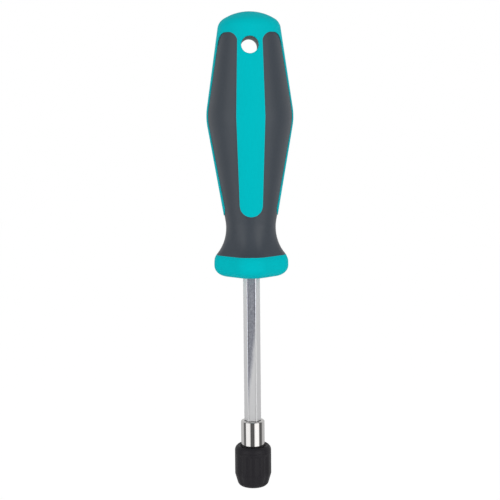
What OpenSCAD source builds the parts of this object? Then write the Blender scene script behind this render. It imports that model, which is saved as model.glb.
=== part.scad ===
// Bit holder screwdriver: a two-colour moulded handle on a hexagon shaft, with a
// quick-release bit socket that a spring-loaded sleeve locks and frees.
// Millimetres. The tool stands on its tip: +Z runs from the tip to the dome and -Y is the front.

/* [Handle] */
// Length of the handle from the foot of its collar to the top of its dome
handle_length = 109.3; // [100:0.1:120]
// Largest diameter, at the belly
belly_d = 36.1; // [33:0.1:39]
// Radius that rounds the belly along the handle
belly_round = 25; // [15:0.5:40]
// Slope of the cone above the belly, in degrees
upper_taper = 8.4; // [6:0.1:10]
// Slope of the cone below the belly, in degrees
lower_taper = 9.8; // [8.5:0.1:12]
// Radius of the crown on top of the dome
crown_round = 20; // [17:0.5:26]
// Radius between the crown and the upper cone
shoulder_round = 5.2; // [4:0.1:8]
// Diameter of the waist, over the soft grip
waist_d = 20.8; // [18.5:0.1:23]
// Radius that hollows the waist along the handle
waist_round = 18; // [15:0.5:22]

/* [Collar] */
// Distance across the collar's four flats that face the front, back and sides
collar_flat = 31; // [28:0.1:33]
// Distance across the four flats between them, below the grip's fingers
collar_diagonal = 28; // [27:0.1:28.6]
// Radius that rounds the eight upright corners of the collar
collar_corner = 6; // [5:0.1:8]
// Radius of the collar's upper edge, up to the soft grip
collar_edge = 5.2; // [4:0.1:7]
// Radius of the collar's foot
collar_foot = 4.5; // [3:0.1:5.5]
// Height of the upright side between the two edges
collar_side = 1.3; // [0.2:0.1:4]

/* [Stripes] */
// Width of a stripe at the tops of the grip's fingers
stripe_top_w = 10.1; // [9:0.1:11]
// Width of a stripe at the belly
stripe_belly_w = 11.7; // [10:0.1:13]
// Width of a stripe at its rounded lower end
stripe_end_w = 9.5; // [7:0.1:11]
// Height of the plain band of soft grip between the collar and the stripes' ends
waist_band = 16.4; // [14:0.1:22]

/* [Soft grip] */
// Thickness of the soft layer
grip_thickness = 2.2; // [1.5:0.1:2.6]
// How far the soft layer lies below the stripes
grip_step = 0.3; // [0.1:0.05:0.6]
// Width of the ledge on which the soft layer stands at the collar
grip_ledge = 3.2; // [2:0.1:5]
// Distance from the top of the dome to the tops of the fingers
finger_drop = 8.9; // [8.5:0.1:14]
// Width of a finger at its top, square to the finger
finger_w = 11.4; // [11:0.1:12.6]
// Radius of the two corners of a finger's top
finger_round = 4.7; // [3:0.1:5.4]

/* [Hanging hole] */
// Diameter of the hole
hole_d = 7; // [5:0.1:7.8]
// Distance from the top of the dome to the middle of the hole
hole_drop = 14.1; // [12:0.1:22]
// Wall of the core around the hole
hole_lining = 1; // [0.6:0.1:1.1]
// Skin of the shell over each end of the lining
lining_skin = 0.6; // [0.3:0.1:2]

/* [Core] */
// Diameter of the core around the shaft
core_d = 11.4; // [10.8:0.1:13]
// Thickness of the shell below the core, at the foot of the collar
core_floor = 4; // [2:0.5:8]

/* [Shaft] */
// Hexagon shaft, across flats
shaft_flat = 6.35; // [6:0.05:6.5]
// Hexagon shaft, across its rounded corners
shaft_corner_d = 7.1; // [6.95:0.05:7.15]
// Length of shaft that shows between the socket and the handle
shaft_free = 62.4; // [30:0.1:150]
// Length of shaft inside the handle
shaft_anchor = 74; // [50:1:85]
// Turn of the shaft's flats from the front, in degrees
shaft_turn = -3.5; // [-30:0.5:30]
// Width over the two pressed wings that stop the shaft from turning in the handle
wing_w = 9.6; // [8:0.1:10.4]
// Thickness of a wing
wing_t = 1.6; // [1:0.1:2.5]
// Length of a wing
wing_l = 9; // [6:0.5:15]
// Distance from the foot of the collar up to the wings
wing_height = 34; // [20:1:60]

/* [Bit socket] */
// Outside diameter of the socket tube
tube_d = 10; // [9.6:0.05:10.2]
// Length of the socket tube
tube_length = 27.9; // [26:0.1:36]
// How far the mouth of the tube lies inside the tip of the sleeve
mouth_set = 0.5; // [0:0.1:1]
// Bevel on the tube's ends
tube_bevel = 0.5; // [0.1:0.05:0.6]
// Hexagon of the socket, across flats
socket_flat = 6.5; // [6.4:0.05:6.6]
// Depth of the hexagon socket
socket_depth = 17; // [14:0.1:18]
// Diameter of the magnet at the bottom of the socket
magnet_d = 5; // [3:0.1:6]
// Thickness of the magnet
magnet_t = 2.5; // [1:0.1:3.5]
// Wall between the magnet and the shaft
web = 1.1; // [0.5:0.1:2]
// Diameter of the rear bore, into which the shaft's corners are pressed
rear_bore_d = 7.16; // [7.16:0.01:7.4]

/* [Locking balls] */
// Diameter of a ball
ball_d = 2.5; // [2:0.1:2.6]
// How far a locked ball reaches into the socket
ball_reach = 0.5; // [0.3:0.05:0.6]
// Clearance of a ball in its seat
ball_clear = 0.04; // [0.02:0.01:0.08]

/* [Sleeve] */
// Outside diameter over the ridges
sleeve_d = 15.5; // [15.2:0.1:17]
// Height of the fluted sleeve, up to its cap
sleeve_height = 15.2; // [15:0.1:18]
// Slope of the tapered tip, in degrees
nose_taper = 16.3; // [14:0.1:17]
// Radius of the edge at the tip
nose_round = 2.5; // [1.6:0.1:2.6]
// Height at which the tapered tip reaches the full diameter
taper_height = 5.4; // [4.5:0.1:8]
// Thickness of the lip at the tip
lip_t = 1.6; // [1.3:0.1:2]
// Number of ridges, an even number
ridges = 12; // [8:2:16]
// Width of a ridge
ridge_w = 2.1; // [1:0.1:2.6]
// Depth of the grooves between the ridges
flute_depth = 0.35; // [0.2:0.05:0.4]
// Height of the smooth cap above the fluted sleeve
cap_height = 2.9; // [2.4:0.1:4]
// Radius of the cap's outer edge
cap_round = 2.6; // [1:0.1:3.2]
// Width of the bevel that leads from the cap's top down to the tube
cap_bevel = 1.15; // [0.2:0.05:1.4]
// Thickness of the cap's lip around the tube
cap_lip_t = 1.4; // [0.9:0.1:1.6]
// Gap between the cap and the tube
cap_gap = 0.4; // [0.2:0.05:0.6]
// Length of the spigot that holds the cap in the sleeve
spigot = 1; // [0.5:0.1:1.5]
// Wall of the spigot
spigot_t = 0.35; // [0.3:0.05:0.4]

/* [Release] */
// Travel of the sleeve from locked to free
sleeve_travel = 2.5; // [2:0.1:2.8]
// Wall of the sleeve's metal liner where it is thinnest
cam_wall = 0.35; // [0.3:0.05:0.45]
// Height of the liner's lower lip, which lands on the front ring
cam_lip = 0.4; // [0.3:0.05:0.6]
// Height of the liner's guide land around the tube
cam_land = 0.4; // [0.3:0.1:1]
// Running clearance on the tube
run_clear = 0.08; // [0.03:0.01:0.1]
// Running gap between faces that turn on each other
face_gap = 0.05; // [0.02:0.01:0.1]

/* [Rings and spring] */
// Thickness of a snap ring
ring_t = 0.6; // [0.4:0.1:0.8]
// Depth of a snap ring's groove in the tube
groove_depth = 0.4; // [0.3:0.05:0.5]
// How far a snap ring stands out of the tube
ring_stand = 0.6; // [0.55:0.05:0.65]
// Opening of a snap ring, in degrees
ring_opening = 40; // [15:1:60]
// Thickness of the two spring washers
washer_t = 0.4; // [0.3:0.05:0.5]
// Clearance between a washer's rim and the bore around it
washer_clear = 0.2; // [0.1:0.05:0.3]
// Diameter of the spring wire
wire_d = 0.5; // [0.4:0.05:0.55]
// Mean diameter of the spring
spring_d = 11.2; // [11:0.1:11.4]
// Turns of the spring
spring_turns = 2.5; // [2:0.25:3]

/* [Hidden] */
$fn = 96;
// Points around a lofted section, and steps along an arc of the profile
section_points = 64;
arc_steps = 6;
waist_steps = 12;
// Overlap that lets cuts and joined forms run into each other
lap = 1;
// Radius beyond every surface of the handle
reach = belly_d / 2 + 6;
// Angle between neighbouring flats of the eight-sided collar
flat_step = 360 / 8;

// Heights along the tool, from the tip up
tube_z = mouth_set;
tube_top = tube_z + tube_length;
foot_z = tube_top + shaft_free;
dome_z = foot_z + handle_length;

// Collar: foot and upper edge are arcs on the upright side
collar_r = collar_flat / 2;
collar_set = (collar_flat - collar_diagonal) / 2;
foot_x = collar_r - collar_foot;
edge_x = collar_r - collar_edge;
edge_z = foot_z + collar_foot + collar_side;

// Waist: a hollow arc that touches the collar's edge below and the lower cone above
waist_x = waist_d / 2 + waist_round;
waist_z = edge_z + sqrt(pow(waist_round + collar_edge, 2) - pow(waist_x - edge_x, 2));
flare_angle = atan2(waist_z - edge_z, waist_x - edge_x);
split_z = edge_z + collar_edge * sin(flare_angle);
split_r = edge_x + collar_edge * cos(flare_angle);

// Belly: an arc that the lower and the upper cone touch
belly_x = belly_d / 2 - belly_round;
grip_belly_round = belly_round - grip_step;
cone_low_r = waist_x - waist_round * cos(lower_taper);
cone_low_z = waist_z + waist_round * sin(lower_taper);
cone_high_r = belly_x + grip_belly_round * cos(lower_taper);
cone_high_z = cone_low_z + (cone_high_r - cone_low_r) / tan(lower_taper);
belly_z = cone_high_z + grip_belly_round * sin(lower_taper);

// Dome: the shoulder touches the upper cone and the crown
crown_z = dome_z - crown_round;
shoulder_run = [-sin(upper_taper), cos(upper_taper)];
shoulder_start = [
  belly_x + (belly_round - shoulder_round) * cos(upper_taper),
  belly_z + (belly_round - shoulder_round) * sin(upper_taper)
];
shoulder_from_crown = shoulder_start - [0, crown_z];
shoulder_along = shoulder_from_crown * shoulder_run;
shoulder_reach = sqrt(
  pow(shoulder_along, 2) - shoulder_from_crown * shoulder_from_crown + pow(crown_round - shoulder_round, 2)
) - shoulder_along;
shoulder = shoulder_start + shoulder_reach * shoulder_run;
shoulder_angle = atan2(shoulder[1] - crown_z, shoulder[0]);

// Soft grip and stripes
finger_z = dome_z - finger_drop;
finger_arch_z = finger_z - finger_round;
stripe_end_z = split_z + waist_band;
ledge_r = split_r - grip_ledge;
pocket_waist_r = waist_d / 2 - grip_thickness;
pocket_belly_r = belly_d / 2 - grip_step - grip_thickness;
pocket_top_r = upper_cone_r(finger_z, grip_step + grip_thickness);

// Core and hanging hole
hole_z = dome_z - hole_drop;
core_z = foot_z + core_floor;
lining_r = hole_d / 2 + hole_lining;
lining_half = sqrt(pow(upper_cone_r(hole_z + lining_r, lining_skin), 2) - pow(lining_r, 2));

// Socket tube
tube_r = tube_d / 2;
socket_z = tube_z + socket_depth;
magnet_top = socket_z + magnet_t;
seat_z = magnet_top + web;

// Release mechanism, stacked up from the lip of the sleeve
front_ring_z = lip_t + sleeve_travel + face_gap;
cam_z = front_ring_z + ring_t + face_gap;
ball_r = ball_d / 2;
ball_x = socket_flat / 2 - ball_reach + ball_r;
ball_z = cam_z + cam_lip + sleeve_travel + ball_r;
ball_rim = ball_x + ball_r;
cam_slope = ball_reach / sleeve_travel;
cam_at_ball = ball_x + (ball_r + ball_clear) * sqrt(1 + pow(cam_slope, 2));
cam_lip_r = ball_rim + 2 * ball_clear;
cam_wide_r = cam_at_ball + cam_slope * (ball_z - cam_z - cam_lip);
guide_r = tube_r + run_clear;
cam_cone_top = ball_z + (cam_at_ball - guide_r) / cam_slope;
cam_top = cam_cone_top + cam_land;
cam_r = cam_wide_r + cam_wall;
thrust_z = cam_top + face_gap;
thrust_top = thrust_z + washer_t;
cap_lip_z = sleeve_height + cap_height - cap_lip_t;
rear_ring_z = cap_lip_z - ring_t - 2 * face_gap;
spring_seat_z = rear_ring_z - washer_t;
spring_space = spring_seat_z - thrust_top;

// Sleeve: the arc at the tip touches the taper and meets the mouth at height zero
sleeve_r = sleeve_d / 2;
mouth_r = tube_r + 2 * run_clear;
nose_slope = tan(nose_taper);
nose_start = sleeve_r - taper_height * nose_slope - nose_round / cos(nose_taper);
nose_z = ((mouth_r - nose_start) * nose_slope
  + sqrt(pow(nose_round / cos(nose_taper), 2) - pow(mouth_r - nose_start, 2))) * pow(cos(nose_taper), 2);
nose_x = nose_start + nose_z * nose_slope;
mouth_angle = acos((mouth_r - nose_x) / nose_round);
ring_r = tube_r + ring_stand;
ring_bore_r = ring_r + 2 * run_clear;
spigot_bore_r = cam_r - spigot_t;

// Points of an arc about a centre, as [radius, height] pairs
function arc(x, z, r, from, to, steps, first = 0) = [
  for (i = [first:steps]) let (a = from + (to - from) * i / steps) [x + r * cos(a), z + r * sin(a)]
];

// Radius of the cone above the belly at a height, that far inside the surface
function upper_cone_r(z, inset) =
  belly_x + (belly_round - inset) * cos(upper_taper)
  - (z - belly_z - (belly_round - inset) * sin(upper_taper)) * tan(upper_taper);

// Radius of a rounded octagon at an angle: every second flat is set in, and the corners are rounded
function octagon_r(angle, flat, set, corner) =
  let (
    turn = abs((angle + flat_step) % (2 * flat_step) - flat_step),
    x = flat - corner,
    y = max(0, (flat - set - corner) / sin(flat_step) - x),
    off = turn - atan2(y, x),
    flat_end = atan2(y, flat),
    diagonal_start = atan2(y + corner * sin(flat_step), x + corner * cos(flat_step))
  )
  turn <= flat_end ? flat / cos(turn)
  : turn >= diagonal_start ? (flat - set) / cos(flat_step - turn)
  : norm([x, y]) * cos(off) + sqrt(max(0, pow(corner, 2) - pow(norm([x, y]) * sin(off), 2)));

// Corner radius of the collar's section: the corners shrink as the edges turn in
function collar_corner_r(r) = max(0.5, collar_corner - (collar_r - r));

// Section of the waist: it opens from the collar's octagon to a full circle
function waist_section(r, z) =
  let (
    rise = min(1, (z - split_z) / (waist_z - split_z)),
    corner = collar_corner_r(split_r)
  )
  [r, collar_set * (1 - rise), corner + (r - corner) * rise, z];

// Solid through a stack of rounded octagons, each [flat radius, set of the diagonals, corner radius, height]
module loft(sections) {
  n = section_points;
  last = len(sections) - 1;
  rings = [
    for (s = sections) for (k = [0:n - 1])
      let (a = 360 * k / n, r = octagon_r(a, s[0], s[1], s[2])) [r * cos(a), r * sin(a), s[3]]
  ];
  foot = len(rings);
  centres = [[0, 0, sections[0][3]], [0, 0, sections[last][3]]];
  sides = [
    for (i = [0:last - 1]) for (k = [0:n - 1])
      let (a = i * n + k, b = i * n + (k + 1) % n)
        for (face = [[a, a + n, b + n], [a, b + n, b]]) face
  ];
  ends = [
    for (k = [0:n - 1]) let (j = (k + 1) % n)
      for (face = [[foot, k, j], [foot + 1, last * n + j, last * n + k]]) face
  ];
  polyhedron(points = concat(rings, centres), faces = concat(ends, sides));
}

// Outline of one stripe seen square on: a long barrel with a round lower end
stripe_outline = concat(
  arc(0, stripe_end_z + stripe_end_w / 2, stripe_end_w / 2, 180, 360, 2 * arc_steps),
  [
    [stripe_belly_w / 2, belly_z],
    [stripe_top_w / 2, finger_z],
    [stripe_top_w / 2, dome_z],
    [-stripe_top_w / 2, dome_z],
    [-stripe_top_w / 2, finger_z],
    [-stripe_belly_w / 2, belly_z]
  ]
);

// Outline of a finger's top seen square on, from below its rounded corners
finger_top = concat(
  [[-finger_w / 2, finger_arch_z - lap], [finger_w / 2, finger_arch_z - lap]],
  arc(finger_w / 2 - finger_round, finger_arch_z, finger_round, 0, 90, arc_steps),
  arc(finger_round - finger_w / 2, finger_arch_z, finger_round, 90, 180, arc_steps)
);

// Room of the soft grip: a ring around the waist with four fingers between the stripes
module grip_room(from_z) {
  difference() {
    union() {
      rotate_extrude() polygon(concat(
        from_z < split_z ? [[ledge_r, from_z]] : [],
        [
          [ledge_r, split_z],
          [pocket_waist_r, waist_z],
          [pocket_belly_r, belly_z],
          [pocket_top_r, finger_arch_z],
          [reach, finger_arch_z],
          [reach, from_z]
        ]
      ));
      intersection() {
        translate([0, 0, finger_arch_z - lap]) difference() {
          cylinder(r = reach, h = finger_round + 2 * lap);
          translate([0, 0, -lap]) cylinder(r = pocket_top_r, h = finger_round + 4 * lap);
        }
        union() for (turn = [45, 135])
          rotate([90, 0, turn]) linear_extrude(height = 3 * reach, center = true) polygon(finger_top);
      }
    }
    for (turn = [0, 90])
      rotate([90, 0, turn]) linear_extrude(height = 3 * reach, center = true) polygon(stripe_outline);
  }
}

// Outer form of the soft grip, from the collar to above the fingers
module grip_form() {
  profile = concat(
    arc(waist_x, waist_z, waist_round, 180 + flare_angle, 180 - lower_taper, waist_steps),
    arc(belly_x, belly_z, grip_belly_round, -lower_taper, upper_taper, arc_steps),
    [[upper_cone_r(finger_z + lap, grip_step), finger_z + lap]]
  );
  loft([for (p = profile) waist_section(p[0], p[1])]);
}

// Outer form of the collar, from its foot to where the soft grip begins
module collar_form() {
  profile = concat(
    arc(foot_x, foot_z + collar_foot, collar_foot, -90, 0, arc_steps),
    arc(edge_x, edge_z, collar_edge, 0, flare_angle, arc_steps),
    [[split_r, split_z + lap]]
  );
  loft([for (p = profile) [p[0], collar_set, collar_corner_r(p[0]), p[1]]]);
}

// Turned form of the shell above the collar: neck, cones, belly, shoulder and crown
module shell_form() {
  neck_r = (ledge_r + split_r) / 2;
  stripe_cone_r = cone_low_r + grip_step / cos(lower_taper);
  rotate_extrude() polygon(concat(
    [[0, split_z - lap], [neck_r, split_z - lap], [neck_r, split_z], [stripe_cone_r, cone_low_z]],
    arc(belly_x, belly_z, belly_round, -lower_taper, upper_taper, arc_steps),
    arc(shoulder[0], shoulder[1], shoulder_round, upper_taper, shoulder_angle, 2 * arc_steps),
    arc(0, crown_z, crown_round, shoulder_angle, 90, arc_steps, 1)
  ));
}

// Through hole across the top of the handle
module hanging_hole() {
  translate([0, 0, hole_z]) rotate([90, 0, 0]) cylinder(d = hole_d, h = 3 * reach, center = true);
}

// Outer form of the core: a rod around the shaft and a lining around the hanging hole
module core_form() {
  translate([0, 0, core_z]) cylinder(d = core_d, h = hole_z - core_z);
  translate([0, 0, hole_z]) rotate([90, 0, 0]) cylinder(r = lining_r, h = 2 * lining_half, center = true);
}

// Hexagon shaft with rounded corners and two pressed wings
module shaft_form() {
  length = foot_z + shaft_anchor - seat_z;
  translate([0, 0, seat_z]) intersection() {
    rotate([0, 0, shaft_turn]) cylinder(r = shaft_flat / 2 / cos(30), h = length, $fn = 6);
    cylinder(d = shaft_corner_d, h = length);
  }
  translate([0, 0, foot_z + wing_height]) rotate([90, 0, shaft_turn])
    linear_extrude(height = wing_t, center = true) polygon([
      [-shaft_flat / 2, 0], [shaft_flat / 2, 0],
      [wing_w / 2, wing_l / 3], [wing_w / 2, 2 * wing_l / 3],
      [shaft_flat / 2, wing_l], [-shaft_flat / 2, wing_l],
      [-wing_w / 2, 2 * wing_l / 3], [-wing_w / 2, wing_l / 3]
    ]);
}

// Flat ring between two radii
module washer(z, inner, outer, height) {
  translate([0, 0, z]) rotate_extrude() polygon([[inner, 0], [outer, 0], [outer, height], [inner, height]]);
}

// Open snap ring that sits in a groove of the tube
module snap_ring(z) {
  translate([0, 0, z]) rotate([0, 0, 90 + ring_opening / 2])
    rotate_extrude(angle = 360 - ring_opening)
      translate([tube_r - groove_depth + run_clear / 2, 0])
        square([ring_stand + groove_depth - run_clear / 2, ring_t]);
}

// Room of the grooves between the sleeve's ridges
module flute_room() {
  groove_top = taper_height + flute_depth * tan(nose_taper / 2);
  difference() {
    rotate_extrude() polygon(concat(
      [[nose_x, -lap]],
      arc(nose_x, nose_z, nose_round - flute_depth, -90, -nose_taper, arc_steps),
      [
        [sleeve_r - flute_depth, groove_top],
        [sleeve_r - flute_depth, sleeve_height + lap],
        [sleeve_r + lap, sleeve_height + lap],
        [sleeve_r + lap, -lap]
      ]
    ));
    for (i = [0:ridges / 2 - 1])
      rotate([0, 0, 360 / ridges * i])
        translate([-sleeve_d, -ridge_w / 2, -2 * lap]) cube([2 * sleeve_d, ridge_w, sleeve_height + 4 * lap]);
  }
}

// Centre line of the spring, from its lower to its upper end
spring_steps = 24;
spring_rise = spring_space - wire_d - 2 * face_gap;
spring_line = [
  for (i = [0:spring_turns * spring_steps])
    let (a = 360 * i / spring_steps, up = i / (spring_turns * spring_steps))
      [a, thrust_top + face_gap + wire_d / 2 + spring_rise * up]
];
function spring_point(p) = [spring_d / 2 * cos(p[0]), spring_d / 2 * sin(p[0]), p[1]];
spring_gap = min([
  for (p = spring_line) for (q = spring_line)
    if (q[0] - p[0] > 180) norm(spring_point(q) - spring_point(p)) - wire_d
]);
echo(spring_least_gap = spring_gap);

module handle_core() {
  color([0.25, 0.27, 0.30]) difference() {
    core_form();
    hanging_hole();
    shaft_form();
  }
}

module handle_shell() {
  color([0.0, 0.72, 0.76]) difference() {
    union() {
      shell_form();
      collar_form();
    }
    grip_room(split_z);
    core_form();
    shaft_form();
    hanging_hole();
  }
}

module soft_grip() {
  color([0.28, 0.30, 0.33]) intersection() {
    grip_form();
    grip_room(split_z - lap);
  }
}

module hex_shaft() {
  color([0.76, 0.77, 0.78]) shaft_form();
}

module holder_tube() {
  groove_r = tube_r - groove_depth;
  color([0.85, 0.84, 0.83]) difference() {
    rotate_extrude() polygon([
      [0, tube_z],
      [tube_r - tube_bevel, tube_z],
      [tube_r, tube_z + tube_bevel],
      [tube_r, front_ring_z],
      [groove_r, front_ring_z],
      [groove_r, front_ring_z + ring_t],
      [tube_r, front_ring_z + ring_t],
      [tube_r, rear_ring_z],
      [groove_r, rear_ring_z],
      [groove_r, rear_ring_z + ring_t],
      [tube_r, rear_ring_z + ring_t],
      [tube_r, tube_top - tube_bevel],
      [tube_r - tube_bevel, tube_top],
      [0, tube_top]
    ]);
    translate([0, 0, tube_z - lap]) rotate([0, 0, 30])
      cylinder(r = socket_flat / 2 / cos(30), h = socket_depth + lap, $fn = 6);
    translate([0, 0, socket_z - lap]) cylinder(d = magnet_d, h = magnet_t + lap);
    translate([0, 0, seat_z]) cylinder(d = rear_bore_d, h = tube_top - seat_z + lap);
    for (turn = [0, 180]) rotate([0, 0, turn]) translate([ball_x, 0, ball_z]) {
      sphere(r = ball_r + ball_clear);
      rotate([0, 90, 0]) cylinder(r = ball_r + ball_clear, h = tube_r);
    }
  }
}

module magnet() {
  color([0.62, 0.62, 0.64]) translate([0, 0, socket_z]) cylinder(d = magnet_d, h = magnet_t);
}

module locking_ball_left() {
  color([0.80, 0.80, 0.82]) translate([-ball_x, 0, ball_z]) sphere(r = ball_r);
}

module locking_ball_right() {
  color([0.80, 0.80, 0.82]) translate([ball_x, 0, ball_z]) sphere(r = ball_r);
}

module front_snap_ring() {
  color([0.25, 0.25, 0.27]) snap_ring(front_ring_z);
}

module release_sleeve() {
  color([0.18, 0.18, 0.20]) difference() {
    rotate_extrude() polygon(concat(
      arc(nose_x, nose_z, nose_round, -mouth_angle, -nose_taper, arc_steps),
      [
        [sleeve_r, taper_height],
        [sleeve_r, sleeve_height],
        [cam_r, sleeve_height],
        [cam_r, cam_z],
        [ring_bore_r, cam_z],
        [ring_bore_r, lip_t],
        [mouth_r, lip_t]
      ]
    ));
    flute_room();
  }
}

module cam_ring() {
  color([0.45, 0.45, 0.47]) rotate_extrude() polygon([
    [cam_lip_r, cam_z],
    [cam_r, cam_z],
    [cam_r, cam_top],
    [guide_r, cam_top],
    [guide_r, cam_cone_top],
    [cam_wide_r, cam_z + cam_lip],
    [cam_lip_r, cam_z + cam_lip]
  ]);
}

module sleeve_cap() {
  cap_top = sleeve_height + cap_height;
  cap_bore_r = tube_r + cap_gap;
  round_x = sleeve_r - cap_round;
  round_z = cap_top - cap_round;
  round_start = asin(max(0, sleeve_height - round_z) / cap_round);
  round_end = acos(max(0, cap_bore_r + cap_bevel - round_x) / cap_round);
  bevel_z = round_z + cap_round * sin(round_end);
  color([0.18, 0.18, 0.20]) rotate_extrude() polygon(concat(
    [[spigot_bore_r, sleeve_height - spigot], [cam_r, sleeve_height - spigot], [cam_r, sleeve_height]],
    round_start > 0 ? [] : [[sleeve_r, sleeve_height]],
    arc(round_x, round_z, cap_round, round_start, round_end, 2 * arc_steps),
    [[cap_bore_r, bevel_z - cap_bevel / 2], [cap_bore_r, cap_lip_z], [spigot_bore_r, cap_lip_z]]
  ));
}

module thrust_washer() {
  color([0.40, 0.40, 0.42]) washer(thrust_z, guide_r, cam_r - washer_clear, washer_t);
}

module return_spring() {
  sides = 8;
  last = len(spring_line) - 1;
  points = [
    for (p = spring_line) for (k = [0:sides - 1])
      let (a = 360 * k / sides, r = spring_d / 2 + wire_d / 2 * cos(a))
        [r * cos(p[0]), r * sin(p[0]), p[1] + wire_d / 2 * sin(a)]
  ];
  walls = [
    for (i = [0:last - 1]) for (k = [0:sides - 1])
      let (a = i * sides + k, b = i * sides + (k + 1) % sides)
        for (face = [[a, b, b + sides], [a, b + sides, a + sides]]) face
  ];
  ends = [[for (k = [sides - 1:-1:0]) k], [for (k = [0:sides - 1]) last * sides + k]];
  color([0.55, 0.55, 0.57]) polyhedron(points = points, faces = concat(ends, walls));
}

module spring_seat() {
  color([0.40, 0.40, 0.42]) washer(spring_seat_z, guide_r, spigot_bore_r - washer_clear, washer_t);
}

module rear_snap_ring() {
  color([0.25, 0.25, 0.27]) snap_ring(rear_ring_z);
}

handle_core();
handle_shell();
soft_grip();
hex_shaft();
holder_tube();
magnet();
locking_ball_left();
locking_ball_right();
front_snap_ring();
release_sleeve();
cam_ring();
sleeve_cap();
thrust_washer();
return_spring();
spring_seat();
rear_snap_ring();
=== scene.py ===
# Bit holder screwdriver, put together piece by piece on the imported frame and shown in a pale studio.
import math

import bmesh
import bpy
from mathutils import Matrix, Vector


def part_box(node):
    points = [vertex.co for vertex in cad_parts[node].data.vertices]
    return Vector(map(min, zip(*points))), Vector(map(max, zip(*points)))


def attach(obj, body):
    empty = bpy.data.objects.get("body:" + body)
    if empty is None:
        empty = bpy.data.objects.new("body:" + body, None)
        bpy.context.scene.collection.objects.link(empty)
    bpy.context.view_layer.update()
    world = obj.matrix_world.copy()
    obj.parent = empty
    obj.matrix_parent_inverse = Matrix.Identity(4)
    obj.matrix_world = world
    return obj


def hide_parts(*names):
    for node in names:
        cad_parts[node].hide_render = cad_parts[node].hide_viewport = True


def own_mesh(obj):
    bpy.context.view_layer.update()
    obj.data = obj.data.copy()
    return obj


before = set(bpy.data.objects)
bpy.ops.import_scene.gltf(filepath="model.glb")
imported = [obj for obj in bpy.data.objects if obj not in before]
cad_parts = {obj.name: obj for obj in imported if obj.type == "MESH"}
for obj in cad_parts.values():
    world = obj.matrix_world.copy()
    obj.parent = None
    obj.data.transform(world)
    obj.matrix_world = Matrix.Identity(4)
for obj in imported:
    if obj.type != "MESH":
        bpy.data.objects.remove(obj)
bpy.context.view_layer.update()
bpy.ops.object.select_all(action="DESELECT")
mm = 0.001


# Hexagon shaft
# A drawn bar of tool steel with rounded corners, nickel plated to a satin finish.
# Its upper end is moulded into the handle and its lower end is pressed into the socket tube.
shaft_turn = math.radians(-3.5)
flat_start, flat_full = 3.0, 3.12
corner_start, corner_full = 3.38, 3.5
skin_and_reflection_start, skin_and_reflection_full, skin_and_reflection_lean, skin_and_reflection_waver = 51.5, 71.5, 9.0, 10.0
dim_z, bright_z, dim_level = 35.0, 85.0, 0.93
gap_shade_z, gap_shade_end_z, gap_shade_level = 28.4, 28.7, 0.12


class Socket:
    """A socket of a node tree. Arithmetic on sockets adds Math nodes to the tree."""

    def __init__(self, tree, out=None):
        self.tree = tree
        self.out = out

    def node(self, kind, settings=None, inputs=None, pick=0):
        """Adds a node, sets it up, fills its inputs with values or links, and gives one of its outputs."""
        made = self.tree.nodes.new(kind)
        for name, value in (settings or {}).items():
            setattr(made, name, value)
        for name, value in (inputs or {}).items():
            if isinstance(value, Socket):
                self.tree.links.new(value.out, made.inputs[name])
            else:
                made.inputs[name].default_value = value
        return Socket(self.tree, made.outputs[pick] if made.outputs else None)

    def maths(self, operation, first, second=0.0):
        return self.node("ShaderNodeMath", {"operation": operation}, {0: first, 1: second})

    def __add__(self, other):
        return self.maths("ADD", self, other)

    __radd__ = __add__

    def __sub__(self, other):
        return self.maths("SUBTRACT", self, other)

    def __rsub__(self, other):
        return self.maths("SUBTRACT", other, self)

    def __mul__(self, other):
        return self.maths("MULTIPLY", self, other)

    __rmul__ = __mul__

    def ramp(self, low, high, start=0.0, end=1.0, kind="SMOOTHSTEP"):
        """Brings this value's run from low to high to a run from start to end, and holds it beyond."""
        return self.node(
            "ShaderNodeMapRange",
            {"interpolation_type": kind},
            {"Value": self, "From Min": low, "From Max": high, "To Min": start, "To Max": end},
        )

    def blend(self, low, high):
        """A colour between two, by this value."""
        return self.node(
            "ShaderNodeMix", {"data_type": "RGBA"}, {0: self, 6: low, 7: high}, pick=2
        )


def finish_of(name):
    """A new material with a bare shader: the tree's socket, the shader node and the material."""
    material = bpy.data.materials.new(name)
    material.use_nodes = True
    tree = material.node_tree
    return Socket(tree), tree.nodes["Principled BSDF"], material


def feed(shader, name, value):
    """Links a varying value to one of the shader's sockets."""
    value.tree.links.new(value.out, shader.inputs[name])


def noise(tree, scale, stretch=(1, 1, 1), detail=3.0, roughness=0.5):
    """A noise pattern that keeps its place on the piece: scale is in features per metre."""
    place = tree.node("ShaderNodeTexCoord", pick=3)
    place = tree.node("ShaderNodeMapping", None, {"Vector": place, "Scale": stretch})
    return tree.node(
        "ShaderNodeTexNoise",
        {"noise_dimensions": "3D"},
        {"Vector": place, "Scale": scale, "Detail": detail, "Roughness": roughness},
    )


def bump(tree, height, strength, depth):
    """A fine relief of the surface, as a normal."""
    return tree.node(
        "ShaderNodeBump", None, {"Height": height, "Strength": strength, "Distance": depth}
    )


def dress(node, material):
    """Gives a CAD node its finish."""
    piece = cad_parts[node]
    for place in piece.material_slots:
        place.material = material


tree, shader, shaft_steel = finish_of("shaft_steel")
drawn = noise(tree, 900, (1, 1, 0.04), 4.0, 0.6)
mottle = noise(tree, 1700, (1, 1, 0.7), 3.0, 0.6)
cloud = noise(tree, 160, (1, 1, 0.6), 2.0)
place = tree.node("ShaderNodeTexCoord", pick=3)
right, deep, up = (
    tree.node("ShaderNodeSeparateXYZ", None, {0: place}, pick=i) for i in range(3)
)
through = tree.maths("ABSOLUTE", math.sin(shaft_turn) * right - math.cos(shaft_turn) * deep)
reach = tree.maths("SQRT", right * right + deep * deep)
flat = through.ramp(flat_start * mm, flat_full * mm)
corner = reach.ramp(corner_start * mm, corner_full * mm)
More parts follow.
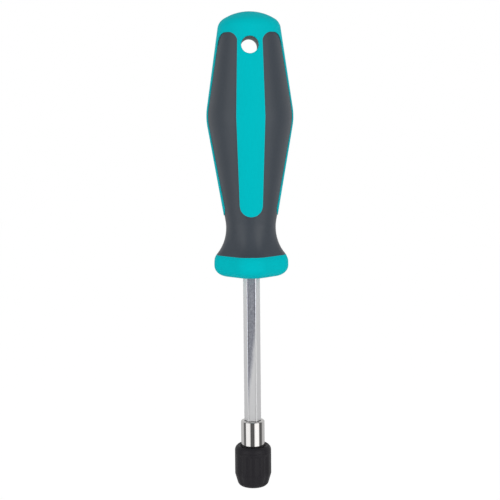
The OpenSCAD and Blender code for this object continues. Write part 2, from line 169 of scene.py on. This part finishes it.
# The front and back flats keep a mottled skin above a leaning line and are ground below it. The skin is
# smoother, and its darker colour is a painted dark reflection.
line = up - skin_and_reflection_lean * right + skin_and_reflection_waver * mm * cloud
skin_and_painted_reflection = flat * line.ramp(skin_and_reflection_start * mm, skin_and_reflection_full * mm)
spots = mottle.ramp(0.3, 0.7, kind="LINEAR")
ground = mottle.blend((0.955, 0.955, 0.965, 1), (0.99, 0.99, 1.0, 1))
# Painted dark reflection: the skin's colour, darker than the ground steel and mottled.
painted_dark_reflection = spots.blend((0.47, 0.49, 0.58, 1), (0.84, 0.86, 0.95, 1))
# Painted shade: the shaft's colour darkens towards its lower end.
painted_shade = up.ramp(dim_z * mm, bright_z * mm, dim_level, kind="LINEAR")
# Painted shade: nearly black below the tube's top, where the shaft sits in the gap of the bore.
painted_shade *= up.ramp(gap_shade_z * mm, gap_shade_end_z * mm, gap_shade_level)
colour = tree.node(
    "ShaderNodeVectorMath", {"operation": "SCALE"}, {0: skin_and_painted_reflection.blend(ground, painted_dark_reflection), "Scale": painted_shade}
)
feed(shader, "Base Color", colour)
feed(shader, "Roughness", 0.58 + 0.06 * drawn - 0.22 * skin_and_painted_reflection - 0.20 * corner)
feed(shader, "Normal", bump(tree, drawn + skin_and_painted_reflection * mottle, 0.10, 0.02 * mm))
shader.inputs["Metallic"].default_value = 1.0
dress("hex_shaft", shaft_steel)


# Handle core
# The first shot of the handle: a hard, dark grey plastic rod moulded around the shaft.
# Its cross tube lines the hanging hole, and no other part of it shows.
tree, shader, dark_plastic = finish_of("dark_plastic")
grain = noise(tree, 2600)
feed(shader, "Base Color", grain.blend((0.100, 0.130, 0.150, 1), (0.120, 0.150, 0.172, 1)))
feed(shader, "Roughness", 0.37 + 0.12 * grain)
shader.inputs["Specular IOR Level"].default_value = 0.4
dress("handle_core", dark_plastic)


# Handle shell
# The second shot: teal hard plastic with the dome, four long stripes and the eight-sided collar.
# It is moulded over the core, and the pockets between its stripes take the soft grip.
handle_length = 109.3
foot_z = 90.8
dome_z = foot_z + handle_length
collar_flat, collar_set, collar_corner = 15.5, 1.5, 6.0
collar_edge, collar_foot, collar_side = 5.2, 4.5, 1.3
foot_reach, neck_rise = 5.3, 3.0
waist_r, waist_round = 10.4, 18.0
belly_r, belly_round = 18.05, 25.0
upper_taper, lower_taper = math.radians(8.4), math.radians(9.8)
crown_round, shoulder_round = 20.0, 5.2
grip_step, grip_thickness, grip_ledge, waist_band = 0.3, 2.2, 3.2, 16.4
# Half the width of the front and the side stripes at the top, at the belly and at the round end
stripe_top, stripe_belly, stripe_end = 5.05, 5.85, 4.75
side_top, side_belly, side_end = 4.5, 3.9, 4.1
finger_drop, finger_half, finger_round, flank_drop = 8.9, 5.7, 4.7, 8.0
hole_r, hole_drop, hole_rim = 3.5, 14.1, 0.4
lining_r, lining_reach = 4.8, 12.0
beyond, lap, shortest_flat = 24.0, 1.0, 1.5

edge_x = collar_flat - collar_edge
edge_z = foot_z + collar_foot + collar_side
waist_x = waist_r + waist_round
waist_z = edge_z + math.sqrt((waist_round + collar_edge) ** 2 - (waist_x - edge_x) ** 2)
flare = math.atan2(waist_z - edge_z, waist_x - edge_x)
split_z = edge_z + collar_edge * math.sin(flare)
split_r = edge_x + collar_edge * math.cos(flare)
belly_x = belly_r - belly_round
soft_round = belly_round - grip_step
cone_low_r = waist_x - waist_round * math.cos(lower_taper)
cone_low_z = waist_z + waist_round * math.sin(lower_taper)
cone_high_r = belly_x + soft_round * math.cos(lower_taper)
cone_high_z = cone_low_z + (cone_high_r - cone_low_r) / math.tan(lower_taper)
belly_z = cone_high_z + soft_round * math.sin(lower_taper)
finger_z = dome_z - finger_drop
arch_z = finger_z - finger_round
hole_z = dome_z - hole_drop
stripe_end_z = split_z + waist_band


def upper_cone(z, inset):
    """Radius of the cone above the belly at a height, that far inside the stripes."""
    r = belly_round - inset
    rise = z - belly_z - r * math.sin(upper_taper)
    return belly_x + r * math.cos(upper_taper) - rise * math.tan(upper_taper)


def arc(x, z, r, start, end, steps):
    """Points of an arc as radius and height, from one angle to another."""
    angles = [start + (end - start) * i / steps for i in range(steps + 1)]
    return [(x + r * math.cos(a), z + r * math.sin(a)) for a in angles]


def draw_line(points):
    """Draws one wire through points in millimetres and stays in edit mode on it."""
    points = [Vector(p) * mm for p in points]
    bpy.ops.object.select_all(action="DESELECT")
    bpy.ops.mesh.primitive_plane_add(size=mm)
    bpy.ops.object.mode_set(mode="EDIT")
    bpy.ops.mesh.merge(type="CENTER")
    bpy.ops.transform.translate(value=points[0])
    for start, end in zip(points, points[1:]):
        bpy.ops.mesh.extrude_region_move(TRANSFORM_OT_translate={"value": end - start})
    bpy.ops.mesh.select_all(action="SELECT")


def done(name):
    """Closes the shape that is being edited and gives it its name."""
    bpy.ops.mesh.select_all(action="SELECT")
    bpy.ops.mesh.remove_doubles(threshold=0.0005 * mm)
    bpy.ops.mesh.normals_make_consistent(inside=False)
    bpy.ops.object.mode_set(mode="OBJECT")
    piece = bpy.context.object
    piece.name = piece.data.name = name
    return piece


def turned(name, profile, steps=192):
    """A turned form: a profile of radius and height, spun about the tool's axis."""
    draw_line([(r, 0, z) for r, z in profile])
    bpy.ops.mesh.spin(steps=steps, angle=2 * math.pi, center=(0, 0, 0), axis=(0, 0, 1))
    return done(name)


def slab(name, outline, turn):
    """A flat outline seen from the front, drawn right through the handle and turned about the axis."""
    draw_line([(x, -2 * beyond, z) for x, z in outline])
    bpy.ops.mesh.edge_face_add()
    bpy.ops.mesh.extrude_region_move(
        TRANSFORM_OT_translate={"value": (0, 4 * beyond * mm, 0)}
    )
    bpy.ops.mesh.select_all(action="SELECT")
    bpy.ops.transform.rotate(value=-turn, orient_axis="Z", center_override=(0, 0, 0))
    return done(name)


def combine(piece, operation, tool):
    """Joins, cuts or trims a piece with a tool, which is used up."""
    change = piece.modifiers.new(operation.lower(), "BOOLEAN")
    change.operation = operation
    change.solver = "EXACT"
    change.object = tool
    bpy.context.view_layer.objects.active = piece
    bpy.ops.object.modifier_apply(modifier=change.name)
    bpy.data.objects.remove(tool)
    bpy.ops.object.select_all(action="DESELECT")
    piece.select_set(True)
    bpy.ops.object.mode_set(mode="EDIT")
    bpy.ops.mesh.select_all(action="SELECT")
    bpy.ops.mesh.remove_doubles(threshold=0.002 * mm)
    bpy.ops.mesh.dissolve_degenerate(threshold=0.001 * mm)
    bpy.ops.object.mode_set(mode="OBJECT")


def smooth(piece, degrees):
    """Shades a piece smooth, apart from edges sharper than an angle."""
    bpy.ops.object.select_all(action="DESELECT")
    piece.select_set(True)
    bpy.context.view_layer.objects.active = piece
    bpy.ops.object.shade_smooth_by_angle(angle=math.radians(degrees))


def cover(piece, material):
    """Gives a piece that is made here its finish."""
    piece.data.materials.clear()
    piece.data.materials.append(material)


def grip_room():
    """The room of the soft grip: a ring around the waist and four round-topped fingers."""
    low, high = split_z - lap, finger_z + lap
    room = turned(
        "grip_room",
        [
            (split_r - grip_ledge, low),
            (split_r - grip_ledge, split_z),
            (waist_r - grip_thickness, waist_z),
            (belly_r - grip_step - grip_thickness, belly_z),
            (upper_cone(finger_z, grip_step + grip_thickness), high),
            (beyond, high),
            (beyond, low),
            (split_r - grip_ledge, low),
        ],
        steps=100,
    )
    flank_z = arch_z - flank_drop
    finger = [(-beyond, low - lap), (beyond, low - lap), (beyond, flank_z)]
    finger += arc(finger_half - finger_round, arch_z, finger_round, 0, math.pi / 2, 12)
    finger += arc(finger_round - finger_half, arch_z, finger_round, math.pi / 2, math.pi, 12)
    finger += [(-beyond, flank_z)]
    fingers = slab("fingers", finger, math.radians(45))
    combine(fingers, "UNION", slab("fingers_across", finger, math.radians(135)))
    combine(room, "INTERSECT", fingers)
    front = 0, stripe_top, stripe_belly, stripe_end
    sides = 90, side_top, side_belly, side_end
    for turn, top, belly, end in (front, sides):
        stripe = arc(0, stripe_end_z + end, end, math.pi, 2 * math.pi, 24)
        stripe += [(belly, belly_z), (top, finger_z), (top, dome_z)]
        stripe += [(-x, z) for x, z in reversed(stripe[-3:])]
        combine(room, "DIFFERENCE", slab("stripe", stripe, math.radians(turn)))
    return room


crown_z = dome_z - crown_round
along = Vector((-math.sin(upper_taper), math.cos(upper_taper)))
outward = Vector((math.cos(upper_taper), math.sin(upper_taper)))
start = Vector((belly_x, belly_z)) + (belly_round - shoulder_round) * outward
from_crown = start - Vector((0, crown_z))
inward = from_crown.dot(along)
crown_gap = (crown_round - shoulder_round) ** 2 - from_crown.dot(from_crown)
shoulder = start + (math.sqrt(inward**2 + crown_gap) - inward) * along
shoulder_end = math.atan2(shoulder.y - crown_z, shoulder.x)
neck_r, neck_z = split_r - grip_ledge / 2, foot_z + neck_rise
shell_profile = [(0, neck_z), (neck_r, neck_z), (neck_r, split_z)]
shell_profile += [(cone_low_r + grip_step / math.cos(lower_taper), cone_low_z)]
shell_profile += arc(belly_x, belly_z, belly_round, -lower_taper, upper_taper, 16)
shell_profile += arc(*shoulder, shoulder_round, upper_taper, shoulder_end, 20)
shell_profile += arc(0, crown_z, crown_round, shoulder_end, math.pi / 2, 14)[1:]
shell = turned("handle_shell_teal", shell_profile)
combine(shell, "DIFFERENCE", grip_room())


def ring_points():
    """The selected vertices of the piece that is being edited."""
    edited = bmesh.from_edit_mesh(bpy.context.object.data)
    return [v.co for v in edited.verts if v.select]


def octagon(flat, z):
    """Starts a piece with the collar's eight-sided ring at a height, its front flat at a distance.

    Every second flat is set in, the corners are rounded, and the ring is filled.
    """
    chamfer = 2 * collar_flat - math.sqrt(2) * (collar_flat - collar_set)
    rounding = collar_corner * math.tan(math.pi / 8)
    bpy.ops.object.select_all(action="DESELECT")
    bpy.ops.mesh.primitive_plane_add(size=2 * collar_flat * mm, location=(0, 0, z * mm))
    bpy.ops.object.transform_apply(location=True)
    bpy.ops.object.mode_set(mode="EDIT")
    bpy.ops.mesh.select_all(action="SELECT")
    bpy.ops.mesh.bevel(offset=chamfer * mm, segments=1, affect="VERTICES")
    bpy.ops.mesh.select_all(action="SELECT")
    bpy.ops.mesh.bevel(offset=rounding * mm, segments=12, profile=0.5, affect="VERTICES")
    bpy.ops.mesh.delete(type="ONLY_FACE")
    edited = bmesh.from_edit_mesh(bpy.context.object.data)
    for edge in edited.edges:
        edge.select_set(edge.calc_length() > shortest_flat * mm)
    bmesh.update_edit_mesh(bpy.context.object.data)
    bpy.ops.mesh.subdivide(number_cuts=11)
    bpy.ops.mesh.select_all(action="SELECT")
    bpy.ops.mesh.edge_face_add()
    size = flat / collar_flat
    bpy.ops.transform.resize(value=(size, size, 1), center_override=(0, 0, 0))


def raise_ring(flat, z, rounder=0.0):
    """Draws the ring up to a height, makes it rounder and brings its front flat to a distance."""
    rise = z * mm - ring_points()[0].z
    bpy.ops.mesh.extrude_region_move(TRANSFORM_OT_translate={"value": (0, 0, rise)})
    if rounder:
        bpy.ops.transform.tosphere(value=rounder)
    size = flat * mm / max(abs(p.y) for p in ring_points())
    bpy.ops.transform.resize(value=(size, size, 1), center_override=(0, 0, z * mm))


collar_profile = [
    (collar_flat - foot_reach + foot_reach * x, foot_z + collar_foot + collar_foot * z)
    for x, z in arc(0, 0, 1, -math.pi / 2, 0, 12)
]
collar_profile += arc(edge_x, edge_z, collar_edge, 0, flare, 10)
octagon(*collar_profile[0])
for r, z in collar_profile[1:]:
    raise_ring(r, z)
combine(shell, "UNION", done("collar"))


def hole_plug():
    """The hanging hole as a solid, with flared mouths and room for the lining in its middle."""
    # Each ring has a radius and a depth below the shell's face, or no depth at the lining's end.
    half = [(hole_r + hole_rim, -lap)]
    half += [
        (hole_r + hole_rim * (1 - math.sin(a)), hole_rim * (1 - math.cos(a)))
        for a in [math.pi / 2 * i / 6 for i in range(7)]
    ]
    half += [(hole_r, None), (lining_r, None)]
    rings = [(-1, r, depth) for r, depth in half]
    rings += [(1, r, depth) for r, depth in reversed(half)]
    bpy.ops.object.select_all(action="DESELECT")
    bpy.ops.mesh.primitive_circle_add(
        vertices=96, radius=mm, rotation=(math.pi / 2, 0, 0), fill_type="NGON"
    )
    bpy.ops.object.transform_apply(rotation=True)
    bpy.ops.object.mode_set(mode="EDIT")
    bpy.ops.mesh.select_all(action="SELECT")
    bpy.ops.transform.translate(value=(0, 0, hole_z * mm))
    for i, (side, r, depth) in enumerate(rings):
        if i:
            bpy.ops.mesh.extrude_region_move()
        for point in ring_points():
            out = Vector((point.x, 0, point.z - hole_z * mm)).normalized()
            x, y, z = r * out.x, lining_reach, hole_z + r * out.z
            if depth is not None:
                y = math.sqrt(upper_cone(z, 0) ** 2 - x**2) - depth
            point.xyz = Vector((x, side * y, z)) * mm
        bmesh.update_edit_mesh(bpy.context.object.data)
    return done("hole_plug")


combine(shell, "DIFFERENCE", hole_plug())
smooth(shell, 32)

tree, shader, teal_plastic = finish_of("teal_plastic")
flow = noise(tree, 60)
grain = noise(tree, 4200)
feed(shader, "Base Color", flow.blend((0.0, 0.490, 0.540, 1), (0.0, 0.515, 0.566, 1)))
feed(shader, "Roughness", 0.42 + 0.16 * grain)
feed(shader, "Normal", bump(tree, grain, 0.06, 0.02 * mm))
shader.inputs["Specular IOR Level"].default_value = 0.02
cover(shell, teal_plastic)
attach(shell, "tool")
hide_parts("handle_shell")


# Soft grip
# The last shot: dark grey soft plastic, moulded around the waist and up between the stripes.
# It lies a little below the stripes and meets the collar on a ledge.
grip_profile = arc(waist_x, waist_z, waist_round, math.pi + flare, math.pi - lower_taper, 22)
grip_profile += arc(belly_x, belly_z, soft_round, -lower_taper, upper_taper, 16)
grip_profile += [(upper_cone(finger_z + lap, grip_step), finger_z + lap)]
# The eight-sided foot becomes round on the way up to the waist.
octagon(split_r, split_z)
roundness = 0.0
for r, z in grip_profile[1:]:
    wanted = min(1.0, (z - split_z) / (waist_z - split_z))
    step = (wanted - roundness) / (1 - roundness) if roundness < 1 else 0.0
    raise_ring(r, z, step)
    roundness = wanted
grip = done("soft_grip_grey")
combine(grip, "INTERSECT", grip_room())
smooth(grip, 32)

tree, shader, soft_grey = finish_of("soft_grip")
texture = noise(tree, 3200, (1, 1, 1), 2.0)
flow = noise(tree, 90)
feed(shader, "Base Color", flow.blend((0.042, 0.053, 0.068, 1), (0.048, 0.059, 0.075, 1)))
feed(shader, "Roughness", 0.36 + 0.12 * texture)
feed(shader, "Normal", bump(tree, texture, 0.12, 0.03 * mm))
shader.inputs["Specular IOR Level"].default_value = 0.5
cover(grip, soft_grey)
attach(grip, "tool")
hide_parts("soft_grip")


# Socket tube
# A turned steel tube, ground and polished, with the hexagon socket for the bit at its lower end.
# Its rear bore is pressed over the corners of the shaft, which leaves dark gaps at the flats.
tube_r, tube_z, tube_top, tube_bevel = 5.0, 0.5, 28.4, 0.5
socket_flat, socket_z = 3.25, 17.5
magnet_r, magnet_top = 2.5, 20.0
rear_bore_r, seat_z = 3.58, 21.1
ball_r, ball_z, ball_bore = 1.29, 8.95, 14.0

bevel_r = tube_r - tube_bevel
tube = turned(
    "socket_tube",
    [(0, tube_z), (bevel_r, tube_z)]
    + arc(bevel_r, tube_z + tube_bevel, tube_bevel, -math.pi / 2, 0, 6)[1:]
    + arc(bevel_r, tube_top - tube_bevel, tube_bevel, 0, math.pi / 2, 6)
    + [(0, tube_top)],
)


def plug(sides, r, low, high):
    """A round or six-sided tool for cutting a hole along the axis."""
    bpy.ops.object.select_all(action="DESELECT")
    bpy.ops.mesh.primitive_cylinder_add(
        vertices=sides,
        radius=r * mm,
        depth=(high - low) * mm,
        location=(0, 0, (low + high) / 2 * mm),
    )
    return bpy.context.object


combine(tube, "DIFFERENCE", plug(6, socket_flat / math.cos(math.pi / 6), -lap, socket_z))
combine(tube, "DIFFERENCE", plug(64, magnet_r, socket_z - lap, magnet_top))
combine(tube, "DIFFERENCE", plug(96, rear_bore_r, seat_z, tube_top + lap))
bpy.ops.object.select_all(action="DESELECT")
bpy.ops.mesh.primitive_cylinder_add(
    vertices=48,
    radius=ball_r * mm,
    depth=ball_bore * mm,
    location=(0, 0, ball_z * mm),
    rotation=(0, math.pi / 2, 0),
)
combine(tube, "DIFFERENCE", bpy.context.object)
smooth(tube, 30)

tree, shader, polished_steel = finish_of("polished_steel")
polish = noise(tree, 1500, (0.05, 0.05, 1), 2.0)
feed(shader, "Base Color", polish.blend((0.76, 0.745, 0.73, 1), (0.80, 0.785, 0.77, 1)))
feed(shader, "Roughness", 0.05 + 0.04 * polish)
shader.inputs["Metallic"].default_value = 1.0
cover(tube, polished_steel)
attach(tube, "tool")
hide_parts("holder_tube")


# Magnet and locking balls
# A nickel plated disc magnet closes the bottom of the socket.
# Two hardened balls sit in the tube's side and grip the bit from left and right.
tree, shader, nickel = finish_of("magnet")
worn = noise(tree, 1200)
feed(shader, "Base Color", worn.blend((0.42, 0.42, 0.43, 1), (0.50, 0.50, 0.51, 1)))
feed(shader, "Roughness", 0.25 + 0.2 * worn)
shader.inputs["Metallic"].default_value = 1.0
dress("magnet", nickel)

tree, shader, ball_steel = finish_of("ball_steel")
lapped = noise(tree, 4000)
feed(shader, "Base Color", lapped.blend((0.72, 0.72, 0.73, 1), (0.78, 0.78, 0.79, 1)))
feed(shader, "Roughness", 0.08 + 0.06 * lapped)
shader.inputs["Metallic"].default_value = 1.0
for node in ("locking_ball_left", "locking_ball_right"):
    dress(node, ball_steel)


# Snap rings
# Two open rings of flat spring wire, sprung onto the tube.
# The front ring stops the sleeve and the rear ring carries the spring's seat.
tree, shader, spring_steel = finish_of("spring_steel")
oil = noise(tree, 1800)
feed(shader, "Base Color", oil.blend((0.16, 0.16, 0.17, 1), (0.24, 0.24, 0.25, 1)))
feed(shader, "Roughness", 0.28 + 0.15 * oil)
shader.inputs["Metallic"].default_value = 1.0
for node in ("front_snap_ring", "rear_snap_ring"):
    dress(node, spring_steel)


# Return spring
# A short coil of round spring wire between the sleeve's washer and the seat on the tube.
# It is pressed together from below when the sleeve is pulled back.
spring_r, wire_r, spring_turns, sleeve_travel = 5.6, 0.25, 2.5, 2.5
spring_low, spring_high = (corner[2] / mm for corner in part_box("return_spring"))
bpy.ops.object.select_all(action="DESELECT")
bpy.ops.mesh.primitive_circle_add(
    vertices=12,
    radius=wire_r * mm,
    location=(spring_r * mm, 0, (spring_low + wire_r) * mm),
    rotation=(math.pi / 2, 0, 0),
)
bpy.ops.object.transform_apply(location=True, rotation=True)
coil = bpy.context.object.modifiers.new("coil", "SCREW")
coil.angle = 2 * math.pi * spring_turns
coil.screw_offset = (spring_high - spring_low - 2 * wire_r) * mm
coil.steps = coil.render_steps = 150
bpy.ops.object.modifier_apply(modifier=coil.name)
bpy.ops.object.mode_set(mode="EDIT")
bpy.ops.mesh.select_all(action="SELECT")
bpy.ops.mesh.fill_holes(sides=0)
spring = done("return_spring_coil")
smooth(spring, 40)
cover(spring, spring_steel)
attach(spring, "tool")
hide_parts("return_spring")
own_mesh(spring)


# Liner and washers
# The turned steel liner with the cone that presses the balls in, and two flat washers.
# The liner is pressed into the sleeve; the washers lie loose at both ends of the spring.
tree, shader, liner_steel = finish_of("liner_steel")
lathe_marks = noise(tree, 2400, (0.2, 0.2, 1))
feed(shader, "Base Color", lathe_marks.blend((0.38, 0.38, 0.39, 1), (0.46, 0.46, 0.47, 1)))
feed(shader, "Roughness", 0.25 + 0.15 * lathe_marks)
shader.inputs["Metallic"].default_value = 1.0
for node in ("cam_ring", "thrust_washer", "spring_seat"):
    dress(node, liner_steel)


# Release sleeve
# The black plastic sleeve that is pulled back to free the bit, with low ridges for the fingers.
# The grooves between the ridges run out at the tapered tip and below the rear edge.
sleeve_r, sleeve_top, sleeve_edge = 7.75, 15.2, 0.2
nose_taper, nose_round, taper_top = math.radians(16.3), 2.5, 5.4
mouth_r, lip_top, ring_room_r, liner_z, liner_r = 5.16, 1.6, 5.76, 4.8, 6.416
ridges, ridge_top, ridge_foot = 12, 0.55, 1.75
groove_depth, groove_start, groove_full = 0.26, 0.6, 2.6
groove_fade, groove_end, groove_wall = 13.5, 14.5, 0.2
rear_z, rear_step, rear_rows = 12.8, 0.2, 9

slope = math.tan(nose_taper)
slant = nose_round / math.cos(nose_taper)
nose_start = sleeve_r - taper_top * slope - slant
inside = mouth_r - nose_start
nose_z = (inside * slope + math.sqrt(slant**2 - inside**2)) * math.cos(nose_taper) ** 2
nose_x = nose_start + nose_z * slope
mouth_angle = math.acos((mouth_r - nose_x) / nose_round)
sleeve_profile = arc(nose_x, nose_z, nose_round, -mouth_angle, -nose_taper, 14)
tip_z = sleeve_profile[-1][1]
taper_rows = [tip_z + (taper_top - tip_z) * i / 8 for i in range(1, 8)]
sleeve_profile += [(sleeve_r - (taper_top - z) * slope, z) for z in taper_rows]
sleeve_profile += [(sleeve_r, taper_top + (rear_z - taper_top) * i / 6) for i in range(7)]
sleeve_profile += [(sleeve_r, rear_z + rear_step * (i + 1)) for i in range(rear_rows)]
sleeve_profile += arc(
    sleeve_r - sleeve_edge, sleeve_top - sleeve_edge, sleeve_edge, 0, math.pi / 2, 6
)
sleeve_profile += [(liner_r, sleeve_top), (liner_r, liner_z), (ring_room_r, liner_z)]
sleeve_profile += [(ring_room_r, lip_top), (mouth_r, lip_top), sleeve_profile[0]]
sleeve = turned("release_sleeve_black", sleeve_profile, steps=288)


def ease_between(value, low, high):
    """Rises softly from nought to one between two values."""
    t = min(1.0, max(0.0, (value - low) / (high - low)))
    return t * t * (3 - 2 * t)


pitch = 2 * math.pi / ridges
for vertex in sleeve.data.vertices:
    x, y, z = vertex.co / mm
    r = math.hypot(x, y)
    if r > liner_r + groove_wall:
        turn = (math.atan2(y, x) / pitch + 0.5) % 1 - 0.5
        groove = ease_between(abs(turn) * pitch * sleeve_r, ridge_top, ridge_foot)
        groove *= ease_between(z, groove_start, groove_full)
        groove *= ease_between(z, groove_end, groove_fade)
        vertex.co.x -= groove * groove_depth * mm * x / r
        vertex.co.y -= groove * groove_depth * mm * y / r
smooth(sleeve, 40)

tree, shader, black_plastic = finish_of("black_plastic")
grain = noise(tree, 3600)
feed(shader, "Base Color", grain.blend((0.0160, 0.0147, 0.0182, 1), (0.0210, 0.0196, 0.0236, 1)))
feed(shader, "Roughness", 0.36 + 0.14 * grain)
feed(shader, "Normal", bump(tree, grain, 0.1, 0.02 * mm))
shader.inputs["Specular IOR Level"].default_value = 0.2
cover(sleeve, black_plastic)
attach(sleeve, "sleeve")
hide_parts("release_sleeve")


# Sleeve cap
# The smooth black ring with a rounded edge that is pressed into the sleeve's rear end.
# Its dished top leads down to the tube, with a narrow gap around it.
dress("sleeve_cap", black_plastic)


# Studio
# A white floor far below the tool, a white surround for the camera, and a tall softbox on each side of it.
# Metal shows the two softboxes, a dim room between and beside them, and a grey wall behind the tool.
floor_z, floor_y, floor_width, floor_length = -0.30, 2.8, 1.9, 6.4
floor_white, floor_in_metal, floor_share = 1.09, 0.5, 0.85
wall_start, wall_full, room_level, wall_level, fill_level = -0.02, 0.36, 0.12, 0.62, 0.55
box_turn, box_shift = math.radians(43), math.radians(-5)
box_away, box_width, box_low, box_high = 0.85, 1.02, -0.29, 0.75
outer_edge, outer_full, inner_edge, inner_full = -0.5, -0.27, 0.5, 0.2
aim, distance, focal_length = Vector((-0.00048, 0, 0.1015)), 0.5, 85.7
azimuth, elevation, roll = math.radians(-1.2), math.radians(6.6), math.radians(0.55)


def of_ray(tree, kind):
    """One where a ray is of a kind, such as the camera's own, and nought elsewhere."""
    rays = tree.tree.nodes.new("ShaderNodeLightPath")
    return Socket(tree.tree, rays.outputs[f"Is {kind} Ray"])


def seen_by(tree):
    """Whether a ray comes from the camera, off metal or through glass."""
    return [of_ray(tree, kind) for kind in ("Camera", "Glossy", "Transmission")]


bpy.ops.object.select_all(action="DESELECT")
bpy.ops.mesh.primitive_plane_add(size=1.0, location=(0, floor_y, floor_z))
bpy.ops.transform.resize(value=(floor_width, floor_length, 1))
floor = bpy.context.object
floor.name = "floor"
tree, _, pale_floor = finish_of("pale_floor")
pale_floor.node_tree.nodes.clear()
to_camera, to_metal, to_glass = seen_by(tree)
matt = tree.node("ShaderNodeBsdfDiffuse", None, {"Color": (0.9, 0.9, 0.9, 1)})
strength = floor_white * to_camera + floor_in_metal * to_metal + to_glass
white = tree.node("ShaderNodeEmission", None, {"Strength": strength})
share = floor_share * (to_camera + to_metal + to_glass)
mixed = tree.node("ShaderNodeMixShader", None, {0: share, 1: matt, 2: white})
tree.node("ShaderNodeOutputMaterial", None, {"Surface": mixed})
pale_floor.cycles.emission_sampling = "NONE"
floor.data.materials.append(pale_floor)

world = bpy.data.worlds.new("studio")
world.use_nodes = True
bpy.context.scene.world = world
world.node_tree.nodes.clear()
tree = Socket(world.node_tree)
to_camera, to_metal, to_glass = seen_by(tree)
toward = tree.node("ShaderNodeTexCoord", pick=0)
depth = tree.node("ShaderNodeSeparateXYZ", None, {0: toward}, pick=1)
wall = depth.ramp(wall_start, wall_full, room_level, wall_level)
seen = to_camera + to_glass
strength = seen + to_metal * wall + (1 - seen - to_metal) * fill_level
background = tree.node(
    "ShaderNodeBackground", None, {"Color": (1, 1, 1, 1), "Strength": strength}
)
tree.node("ShaderNodeOutputWorld", None, {"Surface": background})


def softbox(name, side, power, glow):
    """A tall white screen at the front left or right, bright in the middle and soft at its upright edges."""
    around = box_turn * side + box_shift
    out = Vector((math.sin(around), -math.cos(around), 0))
    bpy.ops.object.select_all(action="DESELECT")
    bpy.ops.mesh.primitive_plane_add(size=1.0)
    screen = bpy.context.object
    screen.name = name
    screen.scale = (box_width, box_high - box_low, 1)
    screen.rotation_euler = (-out).to_track_quat("Z", "Y").to_euler()
    screen.location = box_away * out + Vector((0, 0, (box_low + box_high) / 2))
    screen.visible_camera = False
    tree, _, cloth = finish_of(name)
    cloth.node_tree.nodes.clear()
    place = tree.node("ShaderNodeTexCoord", pick=3)
    across = side * tree.node("ShaderNodeSeparateXYZ", None, {0: place})
    shape = across.ramp(outer_edge, outer_full) * across.ramp(inner_edge, inner_full)
    strength = power + (glow - power) * of_ray(tree, "Glossy")
    lit = tree.node("ShaderNodeEmission", None, {"Strength": strength * shape})
    tree.node("ShaderNodeOutputMaterial", None, {"Surface": lit})
    screen.data.materials.append(cloth)


softbox("softbox_left", -1, power=1.74, glow=1.1)
softbox("softbox_right", 1, power=2.1, glow=1.25)

back = Vector((math.sin(azimuth), -math.cos(azimuth), math.tan(elevation))).normalized()
lens = bpy.data.cameras.new("camera")
lens.lens = focal_length
lens.sensor_width = 36.0
lens.clip_start = 0.01
camera = bpy.data.objects.new("camera", lens)
camera.location = aim + distance * back
camera.rotation_euler = back.to_track_quat("Z", "Y").to_euler()
camera.rotation_euler.rotate_axis("Z", -roll)
bpy.context.scene.collection.objects.link(camera)
bpy.context.scene.camera = camera
bpy.context.scene.view_settings.view_transform = "Standard"
